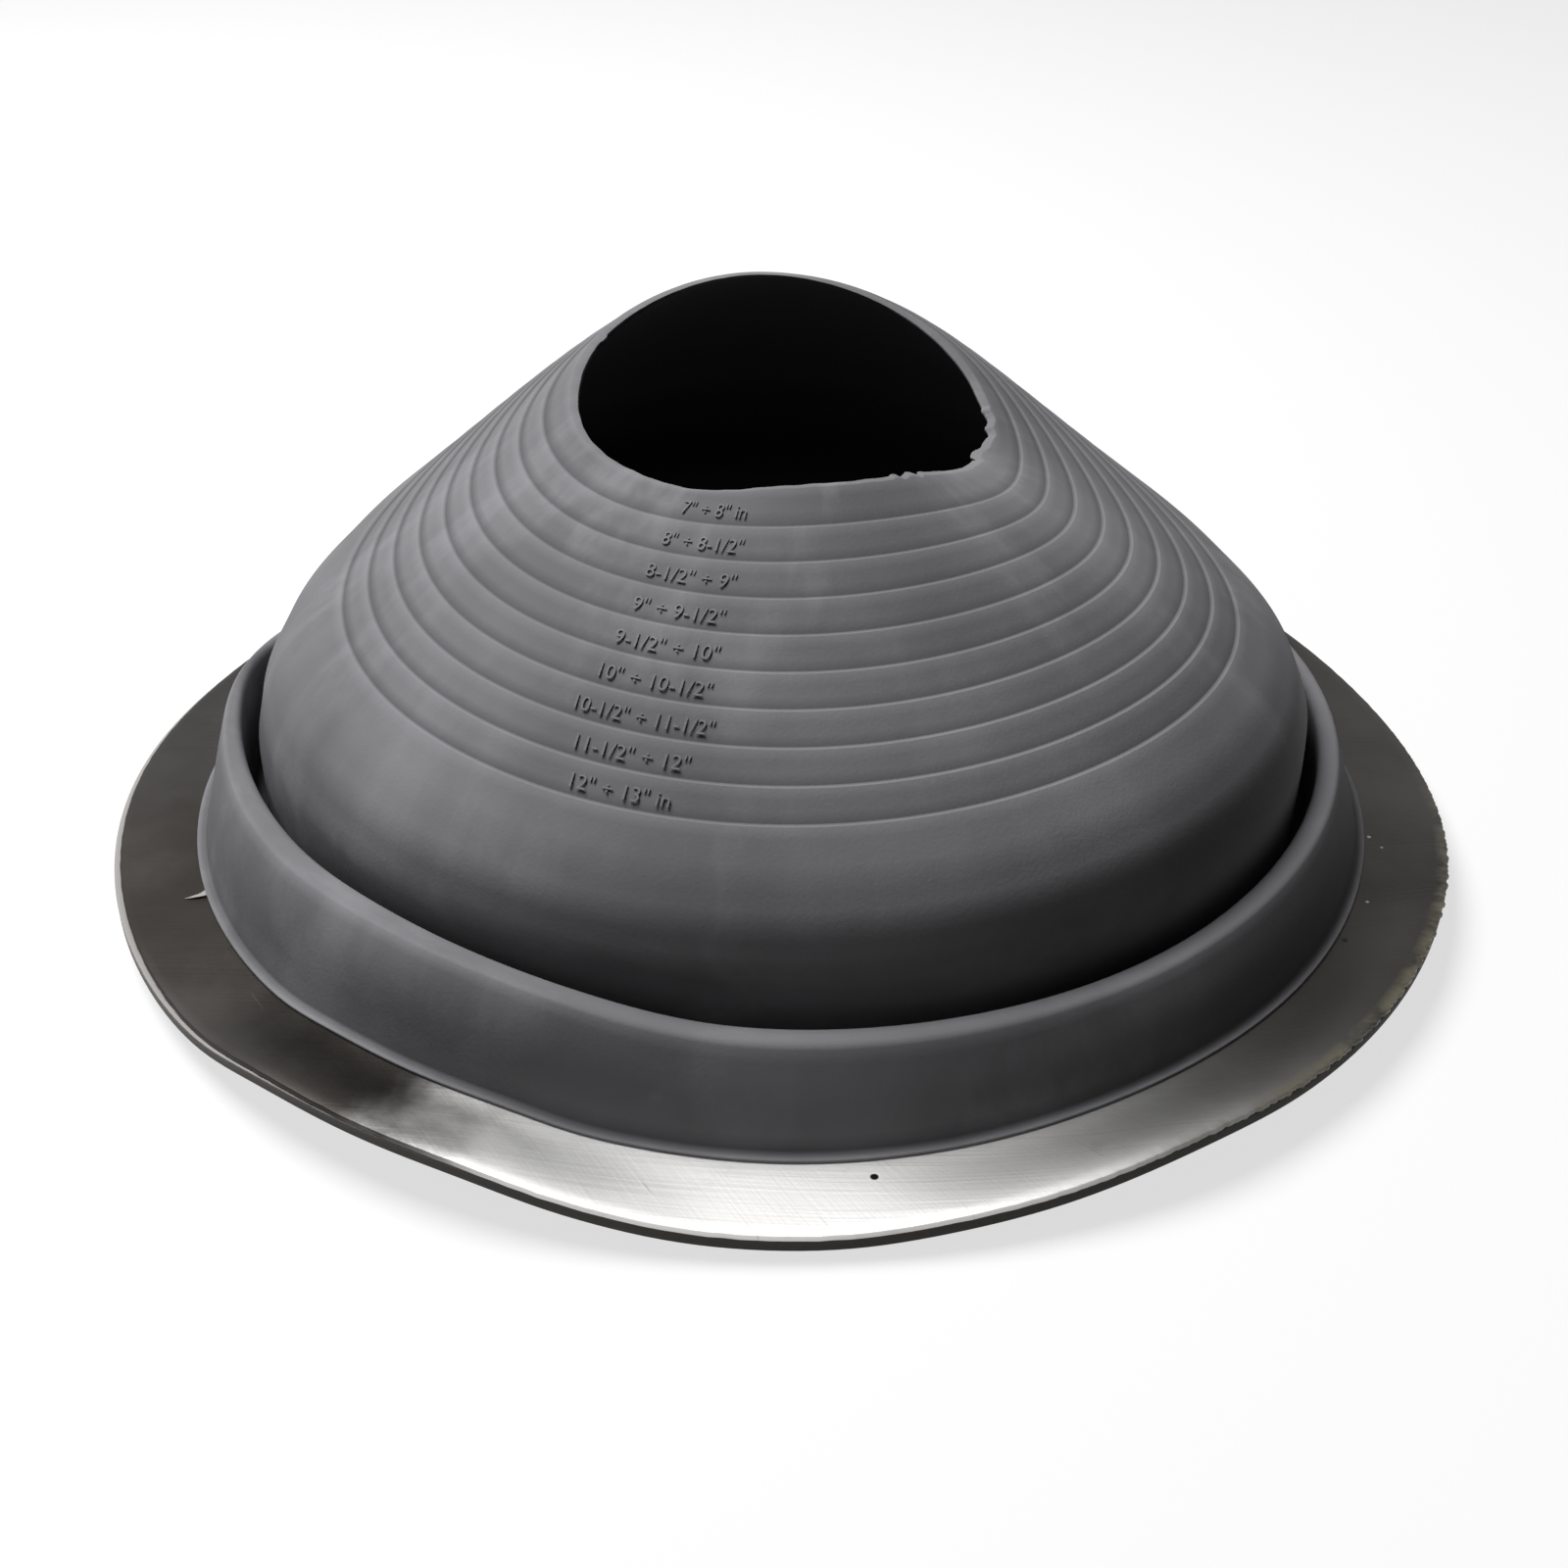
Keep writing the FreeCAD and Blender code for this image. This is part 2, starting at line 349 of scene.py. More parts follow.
@dataclass(frozen=True)
class AluminiumFinish:
    """Soft rolled aluminium: a painted dark reflection, and a painted highlight at the front.

    The painted highlight rises between two angles at the left and falls off to a third at the
    right, all in radians from the front.
    """

    # Painted dark reflection: the ring's base is dark, as if it mirrors a dark room; stains take the
    # same level
    dark_reflection_and_stain: float = 0.010
    dark_reflection_warmth: float = 0.2
    worn: float = 0.026
    worn_warmth: float = 0.1
    highlight_level: float = 0.62
    highlight_warmth: float = 0.01
    blotch_warmth: float = 0.12
    rolled_share: float = 0.4
    scratch_gain: float = 4.0
    sheared: tuple[float, float, float, float] = (0.11, 0.10, 0.07, 1.0)
    metallic: float = 0.9
    rough: float = 0.36
    rough_smudge: float = 0.16
    rough_scratch: float = 0.1
    # Painted highlight: the ring is lightened round the front where it reflects the light
    highlight_from: float = -0.52
    highlight_full: float = -0.26
    highlight_to: float = 1.1
    highlight_power: float = 1.8
    highlight_wander: float = 0.5
    rolled: Grain = Grain(1.0, 3.0, fade=(0.50, 0.70), amount=0.16, depth=0.00012, strength=0.35)
    rolled_along: float = 14.0
    rolled_across: float = 900.0
    scratch: Grain = Grain(1.0, 2.0, fade=(0.70, 0.78), amount=0.35, depth=0.0001)
    scratch_slant: float = 0.7
    scratch_across: float = 900.0
    scratch_along: float = 30.0
    smudge: Grain = Grain(16.0, 5.0, fade=(0.35, 0.7))
    blotch: Grain = Grain(70.0, 5.0, 0.65, (0.60, 0.76), 0.12)
    shear_fade: tuple[float, float] = (0.4, 0.6)
    spot_core: float = 0.7

    def material(self) -> bpy.types.Material:
        """Build the metal.

        Returns:
            The material.
        """
        r = Recipe("soft_aluminium_sheet")
        place = r.place()
        x, y, z = r.split(place)
        rolled = r.noise(r.joined(x * self.rolled_along, y * self.rolled_across, z), self.rolled)
        aslant = (x + y * self.scratch_slant) * self.scratch_across
        along = (y - x * self.scratch_slant) * self.scratch_along
        cross = r.noise(r.joined(aslant, along, z), self.scratch)
        smudge = r.noise(place, self.smudge)
        blotch = r.noise(place, self.blotch)
        # The painted highlight: a lighter band round the front whose edges wander with the smudges
        turn = x.turn_from(y * -1.0) + (smudge - NOISE_MEAN) * self.highlight_wander
        highlight_falloff = turn.rise(self.highlight_to, 0.0) ** self.highlight_power
        painted_highlight = turn.rise(self.highlight_from, self.highlight_full) * highlight_falloff
        # The dark base is a painted dark reflection
        dark_reflection_and_stain = grey(self.dark_reflection_and_stain, self.dark_reflection_warmth)
        tone = r.blend(smudge.rise(*self.smudge.fade), dark_reflection_and_stain, grey(self.worn, self.worn_warmth))
        tone = r.blend(painted_highlight, tone, grey(self.highlight_level, self.highlight_warmth))
        # Rolling lines show as darker streaks across the painted highlight
        lines = rolled.rise(*self.rolled.fade) * painted_highlight * self.rolled.amount
        tone = r.blend(lines, tone, grey(self.highlight_level * self.rolled_share))
        # Stains take the painted dark reflection's level, warmer
        stain = grey(self.dark_reflection_and_stain, self.blotch_warmth)
        tone = r.blend(blotch.rise(*self.blotch.fade) * self.blotch.amount, tone, stain)
        scratch = cross.rise(*self.scratch.fade)
        tone = r.blend(scratch * self.scratch.amount, tone, grey(self.worn * self.scratch_gain))
        tone = r.blend(r.mark("shear") * blotch.rise(*self.shear_fade), tone, self.sheared)
        for spot in SPOTS:
            away = ((x - spot.x) ** 2.0 + (y - spot.y) ** 2.0).root()
            tone = r.blend(away.rise(spot.size, spot.size * self.spot_core), tone, grey(spot.level))
        surface = r.principled(
            Base_Color=tone,
            Metallic=self.metallic,
            Roughness=self.rough + smudge * self.rough_smudge - scratch * self.rough_scratch,
            Normal=r.bump(cross, self.scratch, r.bump(rolled, self.rolled)),
        )
        return r.finish_with(surface)


# ------------------------------------------------------------------ mesh helpers
def mesh_piece(
    name: str, points: np.ndarray, faces: np.ndarray, smooth: bool = True
) -> bpy.types.Object:
    """Write a mesh into a new object at the origin.

    Args:
        name: Name of the object and its mesh.
        points: Points in millimetres, one row for each.
        faces: Point numbers of each face.
        smooth: Whether the faces are shaded smooth.

    Returns:
        The object, in the scene.
    """
    mesh = bpy.data.meshes.new(name)
    mesh.from_pydata((points * MM).tolist(), [], faces.tolist())
    mesh.validate()
    mesh.polygons.foreach_set("use_smooth", np.full(len(mesh.polygons), smooth))
    mesh.update()
    piece = bpy.data.objects.new(name, mesh)
    bpy.context.scene.collection.objects.link(piece)
    return piece


def grid_faces(rows: int, columns: int) -> np.ndarray:
    """Quads of a grid that closes on itself both ways.

    Point (i, j) has index i * columns + j; each quad joins it to the next row and column.

    Args:
        rows: Number of rows.
        columns: Number of points in a row.

    Returns:
        Four point numbers for each quad.
    """
    i, j = np.meshgrid(np.arange(rows), np.arange(columns), indexing="ij")
    after_i = (i + 1) % rows
    after_j = (j + 1) % columns
    here, there = i * columns, after_i * columns
    return np.stack([here + j, here + after_j, there + after_j, there + j], axis=-1).reshape(-1, 4)


def outward(points: np.ndarray, faces: np.ndarray) -> np.ndarray:
    """Turn every quad round if the closed surface's signed volume is negative.

    Args:
        points: Points of the surface.
        faces: Quads, as point numbers.

    Returns:
        Quads whose normals point outward.
    """
    a, b, c, d = (points[faces[:, k]] for k in range(4))
    volume = np.einsum("ij,ij->i", a, np.cross(b, c)) + np.einsum("ij,ij->i", a, np.cross(c, d))
    return faces if volume.sum() > 0 else faces[:, ::-1]


def store(piece: bpy.types.Object, name: str, values: np.ndarray) -> None:
    """Keep one number for each point of a mesh."""
    attribute = piece.data.attributes.new(name, "FLOAT", "POINT")
    attribute.data.foreach_set("value", values.astype(np.float32).ravel())


def smooth_step(value: np.ndarray, low: float, high: float) -> np.ndarray:
    """0 below low, 1 above high, and 3t^2 - 2t^3 between."""
    t = np.clip((value - low) / (high - low), 0.0, 1.0)
    return t * t * (3.0 - 2.0 * t)


# ------------------------------------------------------------------ section
@dataclass
class Corner:
    """One corner of the section: place, rounding and what it is."""

    radius: float
    height: float
    round: float = 0.2
    crease_shade: float = 0.0
    # A lighter tone here is a painted highlight
    crest: float = 0.0
    # A darker tone here is painted shade
    inside: float = 0.0
    edge: float = 0.0
    painted_light: float = 0.0


@dataclass
class SectionLine:
    """The section after rounding: points and, by name, what is stored with each."""

    points: np.ndarray
    marks: dict[str, np.ndarray]


def rounded(corners: list[Corner], spacing: float, arc_step: float) -> SectionLine:
    """Closed section through the corners, each cut by a tangent arc, long runs divided.

    An arc of radius R at a corner that turns by a starts R * tan(a / 2) before it, and its centre
    lies on the inner side of the first run, R away. Along a straight run, "inside" and "dust" keep
    the lower of the two ends' values, and the other marks stay at the corners.

    Args:
        corners: The corners in order.
        spacing: Longest straight step, millimetres.
        arc_step: Largest turn of one arc step, radians.

    Returns:
        The points and the marks, one row for each.
    """
    names = ("crease_shade", "crest", "inside", "edge", "painted_light")
    rows: list[np.ndarray] = []
    marks: list[list[float]] = []
    places = np.array([[c.radius, c.height] for c in corners])
    for index, corner in enumerate(corners):
        here = places[index]
        before = here - places[index - 1]
        after = places[(index + 1) % len(corners)] - here
        before /= np.hypot(*before)
        after /= np.hypot(*after)
        turn = math.atan2(before[0] * after[1] - before[1] * after[0], before @ after)
        count = max(2, math.ceil(abs(turn) / arc_step) + 1)
        side = math.copysign(1.0, turn)
        setback = corner.round * math.tan(abs(turn) / 2)
        centre = here - before * setback + corner.round * side * np.array([-before[1], before[0]])
        first = here - before * setback - centre
        for angle in np.linspace(0.0, turn, count):
            cos, sin = math.cos(angle), math.sin(angle)
            rows.append(centre + np.array([[cos, -sin], [sin, cos]]) @ first)
            marks.append([getattr(corner, name) for name in names])
    points = np.array(rows)
    values = np.array(marks)
    gaps = np.hypot(*(np.roll(points, -1, axis=0) - points).T)
    shares = np.maximum(1, np.ceil(gaps / spacing)).astype(int)
    start = np.repeat(np.arange(len(points)), shares)
    step = np.concatenate([np.arange(n) / n for n in shares])[:, None]
    following = np.roll(points, -1, axis=0)
    full = points[start] * (1 - step) + following[start] * step
    after_values = np.roll(values, -1, axis=0)
    kept = values[start] * (step == 0)
    run = np.minimum(values[start], after_values[start])
    for column in (names.index("inside"), names.index("painted_light")):
        kept[:, column] = np.where(step[:, 0] > 0, run[:, column], kept[:, column])
    return SectionLine(full, {name: kept[:, k] for k, name in enumerate(names)})


@dataclass
class BootSizes:
    """Moulded sizes of the boot and its section's rounds, in millimetres.

    The first three are read from the frame. The seat's clearance keeps rubber and metal off one
    face, and the arc margin keeps two full rounds from meeting at a point.
    """

    flange_radius: float
    pad_top: float
    ring_top: float
    ring_inner_radius: float = 190.0
    rib_height: float = 1.0
    rib_land: float = 2.0
    rib_flank: float = 0.6
    rib_count: int = 3
    wall: float = 3.0
    lip_reach: float = 2.8
    lip_thickness: float = 1.0
    foot_set: float = 1.0
    foot_round: float = 1.2
    body_radius: float = 170.9
    groove_gap: float = 4.6
    groove_floor: float = 7.0
    collar_height: float = 36.5
    crest_width: float = 6.5
    hollow_roof: float = 2.0
    shoulder_radius: float = 43.0
    shoulder_base: float = 34.4
    cone_angle: float = 38.0
    smooth_band: float = 14.0
    step_pitch: float = 10.6
    step_ledge: float = 1.3
    step_count: int = 9
    opening_radius: float = 63.0
    opening_edge: float = 1.5
    mark_share: float = 0.47
    step_round: float = 0.45
    step_root_round: float = 0.12
    land_round: float = 0.5
    opening_round: float = 0.2
    roof_round: float = 0.5
    knee_round: float = 2.0
    rib_round: float = 0.1
    rib_root_round: float = 0.15
    pad_edge_round: float = 0.3
    seat_round: float = 0.1
    lip_under_round: float = 0.15
    lip_round: float = 0.4
    seat_clearance: float = 0.05
    arc_margin: float = 0.01

    @property
    def slope(self) -> float:
        """Fall of the cone, radians."""
        return math.radians(self.cone_angle)

    @property
    def shoulder_start(self) -> np.ndarray:
        """Where the straight cone meets the shoulder's round."""
        radius = self.body_radius + self.shoulder_radius * (math.sin(self.slope) - 1)
        return np.array([radius, self.shoulder_base + self.shoulder_radius * math.cos(self.slope)])

    def up_the_slope(self, distance: np.ndarray) -> np.ndarray:
        """Radius and height on the cone, a distance up from the shoulder, as (..., 2)."""
        way = np.array([-math.cos(self.slope), math.sin(self.slope)])
        return self.shoulder_start + np.asarray(distance)[..., None] * way

    @property
    def top(self) -> float:
        """Height of the land around the opening."""
        return self.cone_height(self.land_radius)

    @property
    def land_radius(self) -> float:
        """Outer radius of the land around the opening."""
        across = self.wall / math.sin(self.slope) - self.opening_edge / math.tan(self.slope)
        return self.opening_radius + across

    @property
    def outward_of_slope(self) -> np.ndarray:
        """Direction out of the slope, as (radius, height)."""
        return np.array([math.sin(self.slope), math.cos(self.slope)])

    def cone_height(self, radius: float) -> float:
        """Height of the cone's straight slope at a radius."""
        start = self.shoulder_start
        return start[1] + (start[0] - radius) * math.tan(self.slope)

    def band_middle(self, band: int) -> float:
        """Distance up the slope to the line of marks on a band, counted from the lowest."""
        return self.smooth_band + (band + self.mark_share) * self.step_pitch


# ------------------------------------------------------------------ relaxed shape
@dataclass(frozen=True)
class Waves:
    """A sum of waves round the axis: mean, then cosine and sine of 1, 2, 3 ... turns."""

    amounts: tuple[float, ...]

    def at(self, turn: np.ndarray) -> np.ndarray:
        """Value at an angle: a0 + sum of a_k cos(k turn) + b_k sin(k turn).

        Args:
            turn: Angles, radians.

        Returns:
            The values, in the shape of turn.
        """
        total = np.full_like(turn, self.amounts[0])
        for k in range(1, (len(self.amounts) + 1) // 2):
            total = total + self.amounts[2 * k - 1] * np.cos(k * turn)
            total = total + self.amounts[2 * k] * np.sin(k * turn)
        return total


@dataclass(frozen=True)
class Swell:
    """A flat-topped bell round the axis: its middle and reach, in degrees, and its height."""

    angle: float
    reach: float
    height: float


def swells(turn: np.ndarray, places: tuple[Swell, ...]) -> np.ndarray:
    """Sum of flat-topped bells: height * exp(-((angle - middle) / reach)^4), angles in degrees.

    Args:
        turn: Angles, radians.
        places: The bells.

    Returns:
        The sums, in the shape of turn.
    """
    away = (np.degrees(turn)[..., None] - [s.angle for s in places] + 180.0) % 360.0 - 180.0
    bells = np.exp(-((away / [s.reach for s in places]) ** 4))
    return bells @ np.array([s.height for s in places])


@dataclass(frozen=True)
class Relaxed:
    """How the slack rubber settles. Angles start at the front and grow to the right.

    Edges, foot, top and rim are moulded radii, the collar's low and high are heights, and the back
    sector is in degrees to either side. Most_share lets the torn edge rise past the land.
    """

    fixed_height: float
    top_height: float
    spread_top: Waves = Waves((-1.0, -5.0, 1.0, 0.5, -4.0, 1.0, 3.0))
    spread_middle: Waves = Waves((4.5, -2.0, -1.5, 5.5, 2.5, -2.5, -2.0))
    rise_top: Waves = Waves((-1.5, -7.5, -8.5, 7.0, 4.5, 0.0, 1.5))
    rise_middle: Waves = Waves((6.0, -4.5, 1.0, 4.0, -1.0, -3.5, 0.0))
    base_spread: Waves = Waves((-2.0, 6.5, 3.0, 3.0, -3.5, -3.0, 0.0))
    ring_swells: tuple[Swell, ...] = (
        Swell(-52.0, 45.0, 8.0),
        Swell(-29.0, 12.0, 3.4),
        Swell(-3.0, 18.0, 1.2),
        Swell(54.0, 40.0, 6.0),
        Swell(180.0, 40.0, 1.5),
    )
    crest_swells: tuple[Swell, ...] = (
        Swell(-60.0, 46.0, 6.6),
        Swell(-28.0, 18.0, 2.0),
        Swell(12.0, 34.0, -1.4),
        Swell(-126.0, 32.0, -14.0),
        Swell(122.0, 26.0, -4.0),
    )
    rim_swells: tuple[Swell, ...] = (
        Swell(-27.0, 17.0, 3.8),
        Swell(22.0, 14.0, 2.5),
        Swell(50.0, 28.0, 4.4),
    )
    side_swells: tuple[Swell, ...] = (Swell(92.0, 40.0, 0.5), Swell(-100.0, 45.0, -2.2))
    body_edge: float = 171.2
    collar_edge: float = 175.0
    collar_low: float = 6.0
    collar_high: float = 34.0
    skirt_top: float = 178.0
    skirt_foot: float = 188.0
    curl_edge: float = 194.0
    rim: float = 219.0
    back_sector: tuple[float, float] = (88.0, 104.0)
    most_share: float = 1.03

    def apply(self, radius: np.ndarray, turn: np.ndarray, height: np.ndarray) -> np.ndarray:
        """Points after settling, from moulded radius, angle and height.

        With s the share of the cone's height, the top pattern grows as s^2 and the middle one as
        4 s (1 - s). Outside the body, the collar's lift grows with height and the ring's with
        radius, and the ring and the skirt's foot also move level, at the back the ring's rim alone.
        The rim curls up a little more than the ring.

        Args:
            radius: Moulded radii, millimetres.
            turn: Angles, radians.
            height: Moulded heights, millimetres.

        Returns:
            Points as (..., 3), with the front at -Y.
        """
        beyond = smooth_step(radius, self.body_edge, self.collar_edge)
        share = (height - self.fixed_height) / (self.top_height - self.fixed_height)
        share = np.clip(share, 0.0, self.most_share) * (1 - beyond)
        top = share**2
        middle = 4 * share * np.clip(1 - share, 0.0, 1.0)
        spread = self.spread_top.at(turn) * top + self.spread_middle.at(turn) * middle
        spread = spread + swells(turn, self.side_swells) * middle
        rise = self.rise_top.at(turn) * top + self.rise_middle.at(turn) * middle
        down = smooth_step(radius, self.skirt_top, self.skirt_foot)
        high = smooth_step(height, self.collar_low, self.collar_high)
        lift = swells(turn, self.crest_swells) * high + swells(turn, self.ring_swells) * down
        lift = lift + swells(turn, self.rim_swells) * smooth_step(radius, self.curl_edge, self.rim)
        near = smooth_step(radius, self.collar_edge, self.skirt_foot)
        far = smooth_step(radius, self.collar_edge, self.rim)
        behind = smooth_step(np.abs(turn), *np.radians(self.back_sector))
        out = radius + spread + self.base_spread.at(turn) * (near + (far - near) * behind)
        up = height + rise + lift * beyond
        return np.stack([out * np.sin(turn), -out * np.cos(turn), up], axis=-1)


# Ragged bites, and with a negative height tongues, in the thin edge of the opening
TEARS = (
    Swell(-48.0, 36.0, 2.3),
    Swell(0.0, 34.0, 1.4),
    Swell(106.0, 8.5, 1.3),
    Swell(112.2, 1.0, -0.8),
    Swell(108.6, 1.4, 0.6),
    Swell(104.6, 1.0, -0.7),
    Swell(101.4, 1.5, 0.5),
    Swell(88.0, 4.0, -2.0),
    Swell(83.2, 1.0, 0.6),
    Swell(42.5, 1.3, -0.5),
    Swell(40.0, 0.8, 0.4),
    Swell(37.0, 1.3, -0.7),
    Swell(33.5, 0.9, 0.4),
    Swell(31.0, 1.3, -0.5),
    Swell(-106.5, 1.2, 0.3),
    Swell(-110.4, 1.6, -0.6),
    Swell(-114.0, 1.5, 0.5),
)


@dataclass(frozen=True)
class Ripple:
    """An uneven ripple round an edge: amount * sin(waves * turn) * sin(beat * turn + phase)."""

    amount: float
    waves: float
    beat: float
    phase: float

    def at(self, turn: np.ndarray) -> np.ndarray:
        """Value at an angle."""
        return self.amount * np.sin(turn * self.waves) * np.sin(turn * self.beat + self.phase)


TORN_RIPPLE = Ripple(0.1, 37.0, 11.0, 0.7)


def torn_edge(turn: np.ndarray) -> np.ndarray:
    """Change of the opening's radius: a fine ripple and the tears."""
    return TORN_RIPPLE.at(turn) + swells(turn, TEARS)


@dataclass(frozen=True)
class Density:
    """How finely a turned piece is divided.

    Spacing is the longest straight step of the section, in millimetres, and arc_step the largest
    turn of one arc step. Round the axis the steps are coarse, and fine inside the spans, where the
    edge is ragged. All angles are in degrees.
    """

    spacing: float
    arc_step: float
    coarse: float
    fine: float
    spans: tuple[tuple[float, float], ...]

    def turns(self) -> np.ndarray:
        """Angles once round from -180 degrees, stretched to close evenly.

        Returns:
            The angles, radians.
        """
        angles = [-180.0]
        while angles[-1] < 180.0:
            near = any(low - self.coarse < angles[-1] < high for low, high in self.spans)
            angles.append(angles[-1] + (self.fine if near else self.coarse))
        return np.radians(np.array(angles[:-1]) * 360.0 / (angles[-1] + 180.0))


@dataclass
class Turned:
    """A section turned round the axis: moulded radii, heights and angles of a grid of points."""

    line: SectionLine
    radius: np.ndarray
    height: np.ndarray
    angle: np.ndarray

    @classmethod
    def from_corners(cls, corners: list[Corner], density: Density) -> Turned:
        """Round the corners and turn the section.

        Args:
            corners: Corners of the closed section, in order.
            density: How finely to divide it.

        Returns:
            The turned section.
        """
        line = rounded(corners, density.spacing, math.radians(density.arc_step))
        radius, height = line.points.T[:, :, None]
        return cls(line, *np.broadcast_arrays(radius, height, density.turns()))

    def piece(self, name: str, relaxed: Relaxed) -> bpy.types.Object:
        """Let the grid settle and write it as a closed mesh."""
        points = relaxed.apply(self.radius, self.angle, self.height).reshape(-1, 3)
        return mesh_piece(name, points, outward(points, grid_faces(*self.radius.shape)))


# ------------------------------------------------------------------ size marks
@dataclass(frozen=True)
class SizeMark:
    """Pipe sizes moulded on a band, and the mark's width in millimetres."""

    text: str
    width: float


SIZE_MARKS = (
    SizeMark('12" \u00f7 13" in', 27.0),
    SizeMark('11-1/2" \u00f7 12"', 31.0),
    SizeMark('10-1/2" \u00f7 11-1/2"', 38.0),
    SizeMark('10" \u00f7 10-1/2"', 31.0),
    SizeMark('9-1/2" \u00f7 10"', 29.0),
    SizeMark('9" \u00f7 9-1/2"', 26.0),
    SizeMark('8-1/2" \u00f7 9"', 26.0),
    SizeMark('8" \u00f7 8-1/2"', 24.0),
    SizeMark('7" \u00f7 8" in', 20.0),
)
MARK_ANGLE = -17.0
MARK_HEIGHT = 4.2
MARK_RELIEF = 0.13
CAPITAL_SHARE = 0.7  # height of a capital, as a share of the type's size
LETTER_STEPS = 3


def letters(text: str, height: float, relief: float) -> tuple[np.ndarray, np.ndarray]:
    """Raised text, centred, standing as far above its plane as below it.

    Args:
        text: What it says.
        height: Height of a capital, millimetres.
        relief: How far it stands out, millimetres.

    Returns:
        Its points and triangles.
    """
    curve = bpy.data.curves.new(text, "FONT")
    curve.body = text
    curve.align_x = "CENTER"
    curve.align_y = "CENTER"
    curve.size = height / CAPITAL_SHARE
    curve.extrude = relief
    curve.resolution_u = LETTER_STEPS
    holder = bpy.data.objects.new(text, curve)
    mesh = bpy.data.meshes.new_from_object(holder)
    mesh.calc_loop_triangles()
    points = np.array([v.co[:] for v in mesh.vertices])
    faces = np.array([t.vertices[:] for t in mesh.loop_triangles])
    bpy.data.objects.remove(holder)
    bpy.data.meshes.remove(mesh)
    bpy.data.curves.remove(curve)
    points[:, :2] -= (points[:, :2].max(axis=0) + points[:, :2].min(axis=0)) / 2
    return points, faces


# ------------------------------------------------------------------ rubber boot
BOOT_DENSITY = Density(4.5, 24.0, 1.1, 0.3, ((28.0, 45.0), (80.0, 116.0), (-118.0, -104.0)))

# Whisker of flash: angle, how far it starts inside the lip, and its corners as the distance out,
# round and up from there, four at the root, two at the bend and the tip
FLASH_ANGLE = -60.8
FLASH_ROOT = 0.5
FLASH_CORNERS = (
    (0.0, -1.4, 0.0),
    (0.0, 1.4, 0.0),
    (0.0, 1.4, 0.7),
    (0.0, -1.4, 0.7),
    (3.2, -0.1, 0.6),
    (3.2, 0.9, 0.6),
    (7.0, -0.5, 0.2),
)
FLASH_FACES = (
    (0, 3, 2), (0, 2, 1), (3, 4, 5), (3, 5, 2), (0, 4, 3),
    (2, 5, 1), (4, 6, 5), (0, 6, 4), (0, 1, 6), (1, 5, 6),
)


